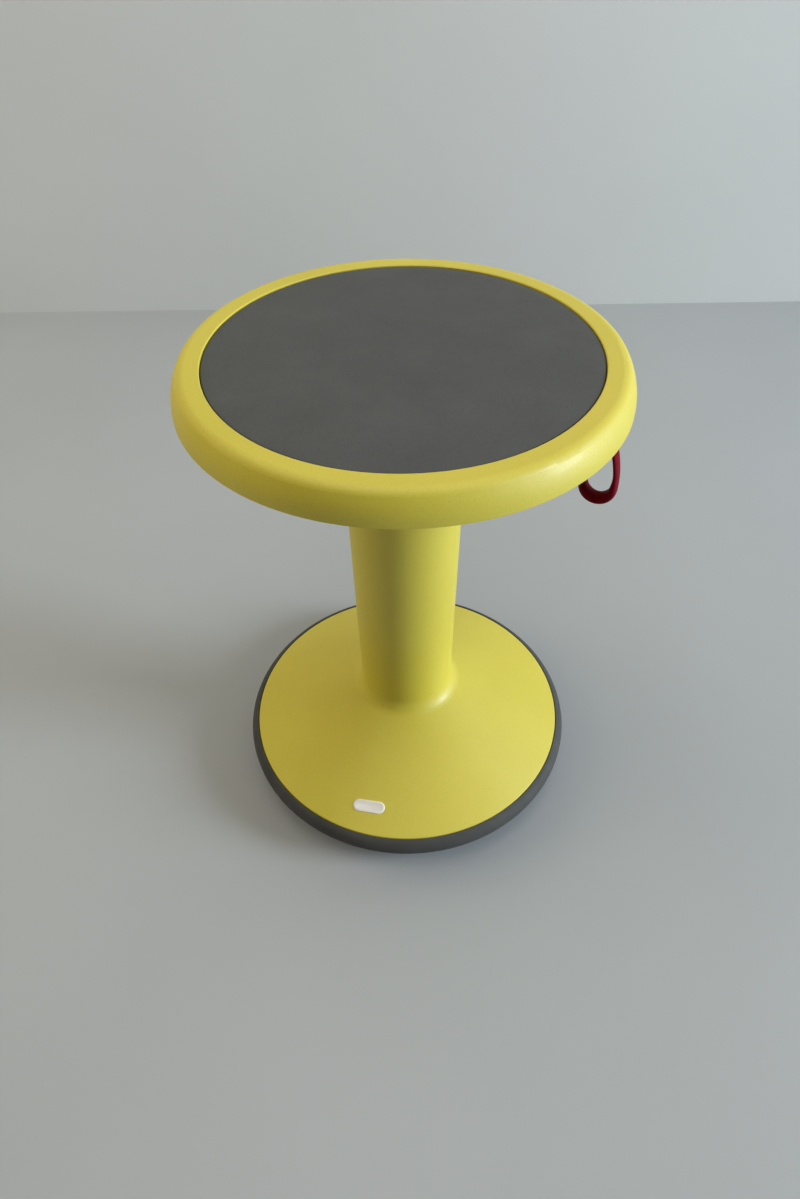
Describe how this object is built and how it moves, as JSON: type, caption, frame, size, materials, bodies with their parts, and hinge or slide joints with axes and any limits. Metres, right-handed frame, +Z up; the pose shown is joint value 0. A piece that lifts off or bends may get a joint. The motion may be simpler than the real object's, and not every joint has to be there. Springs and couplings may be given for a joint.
{
  "type": "wobble stool",
  "caption": "Round stool on a domed weighted base that rocks; the seat turns and lifts on a gas column released by a pull loop.",
  "frame": {"origin": "centre of the flat foot on its lower face, which rests on the floor", "axes": "+Z up along the column, +X towards the release lever and its pull loop, +Y completes the right-hand frame"},
  "size_m": [0.3288, 0.3274, 0.45],
  "materials": {
    "yellow_shell": "fine satin moulded polypropylene",
    "rocker_rubber": "matt dark grey soft plastic",
    "foot_rubber": "matt rubber",
    "zinc_screw": "zinc plated",
    "ballast_steel": "mill scale steel plate",
    "cast_hub": "painted casting",
    "black_tube": "black powder coat",
    "white_bush": "plain acetal",
    "dark_collar": "plain plastic",
    "bearing_steel": "ground steel",
    "cage_brass": "stamped brass",
    "spring_steel": "oiled spring steel",
    "buffer_rubber": "matt rubber",
    "chrome_rod": "hard chrome",
    "piston_alloy": "turned",
    "seal_rubber": "matt rubber",
    "chrome_tube": "polished",
    "guide_plastic": "plain plastic",
    "valve_brass": "turned brass",
    "pressed_steel": "black painted pressing",
    "dark_sleeve": "satin extruded plastic",
    "grey_pad": "finely grained soft pad",
    "lever_steel": "black painted bar",
    "crimson_loop": "smooth moulded soft plastic"
  },
  "bodies": {
    "base": {"base_shell": "yellow_shell", "rocker_pan": "rocker_rubber", "centre_foot": "foot_rubber", "foot_screws": "zinc_screw", "base_screws": "zinc_screw", "ballast_plate": "ballast_steel", "tube_socket": "cast_hub", "socket_bolts": "zinc_screw", "stand_tube": "black_tube", "guide_bush": "white_bush", "column_collar": "dark_collar", "bearing_lower_race": "bearing_steel"},
    "cage": {"ball_cage": "cage_brass", "bearing_balls": "bearing_steel"},
    "swivel": {"bearing_upper_race": "bearing_steel", "rod_clip": "spring_steel", "rubber_buffer": "buffer_rubber", "piston_rod": "chrome_rod", "piston": "piston_alloy", "piston_ring": "seal_rubber", "piston_nut": "zinc_screw"},
    "seat": {"pressure_tube": "chrome_tube", "rod_guide": "guide_plastic", "rod_seal": "seal_rubber", "valve_body": "valve_brass", "seat_plate": "pressed_steel", "seat_plate_bolts": "zinc_screw", "lever_bracket": "pressed_steel", "bracket_rivets": "zinc_screw", "lever_pivot_pin": "bearing_steel", "pivot_clip": "spring_steel", "inner_sleeve": "dark_sleeve", "seat_shell": "yellow_shell", "seat_pad": "grey_pad", "under_cover": "yellow_shell", "cover_screws": "zinc_screw"},
    "valve_pin": {"release_pin": "bearing_steel"},
    "lever": {"release_lever": "lever_steel", "loop_pin": "bearing_steel"},
    "loop": {"pull_loop": "crimson_loop"}
  },
  "joints": [
    {"name": "seat_spin", "type": "hinge", "parent": "base", "child": "swivel", "pos_m": [0, 0, 0.0456], "axis": [0, 0, 1], "continuous": true},
    {"name": "cage_spin", "type": "hinge", "parent": "base", "child": "cage", "pos_m": [0, 0, 0.0418], "axis": [0, 0, 1], "continuous": true},
    {"name": "seat_lift", "type": "slide", "parent": "swivel", "child": "seat", "axis": [0, 0, 1], "range_m": [0, 0.18]},
    {"name": "lever_pull", "type": "hinge", "parent": "seat", "child": "lever", "pos_m": [-0.034, 0, 0.4238], "axis": [0, 1, 0], "range_deg": [0, 5], "stiffness_Nm_per_rad": 4, "springref_deg": -11.46},
    {"name": "pin_press", "type": "slide", "parent": "seat", "child": "valve_pin", "axis": [0, 0, -1], "range_m": [0, 0.003]},
    {"name": "loop_swing", "type": "hinge", "parent": "lever", "child": "loop", "pos_m": [0.1515, 0, 0.419], "axis": [0, 1, 0], "range_deg": [-25, 25]}
  ],
  "couplings": [
    {"joint": "cage_spin", "follows": "seat_spin", "ratio": 0.5},
    {"joint": "pin_press", "follows": "lever_pull", "m_per_rad": 0.034}
  ]
}
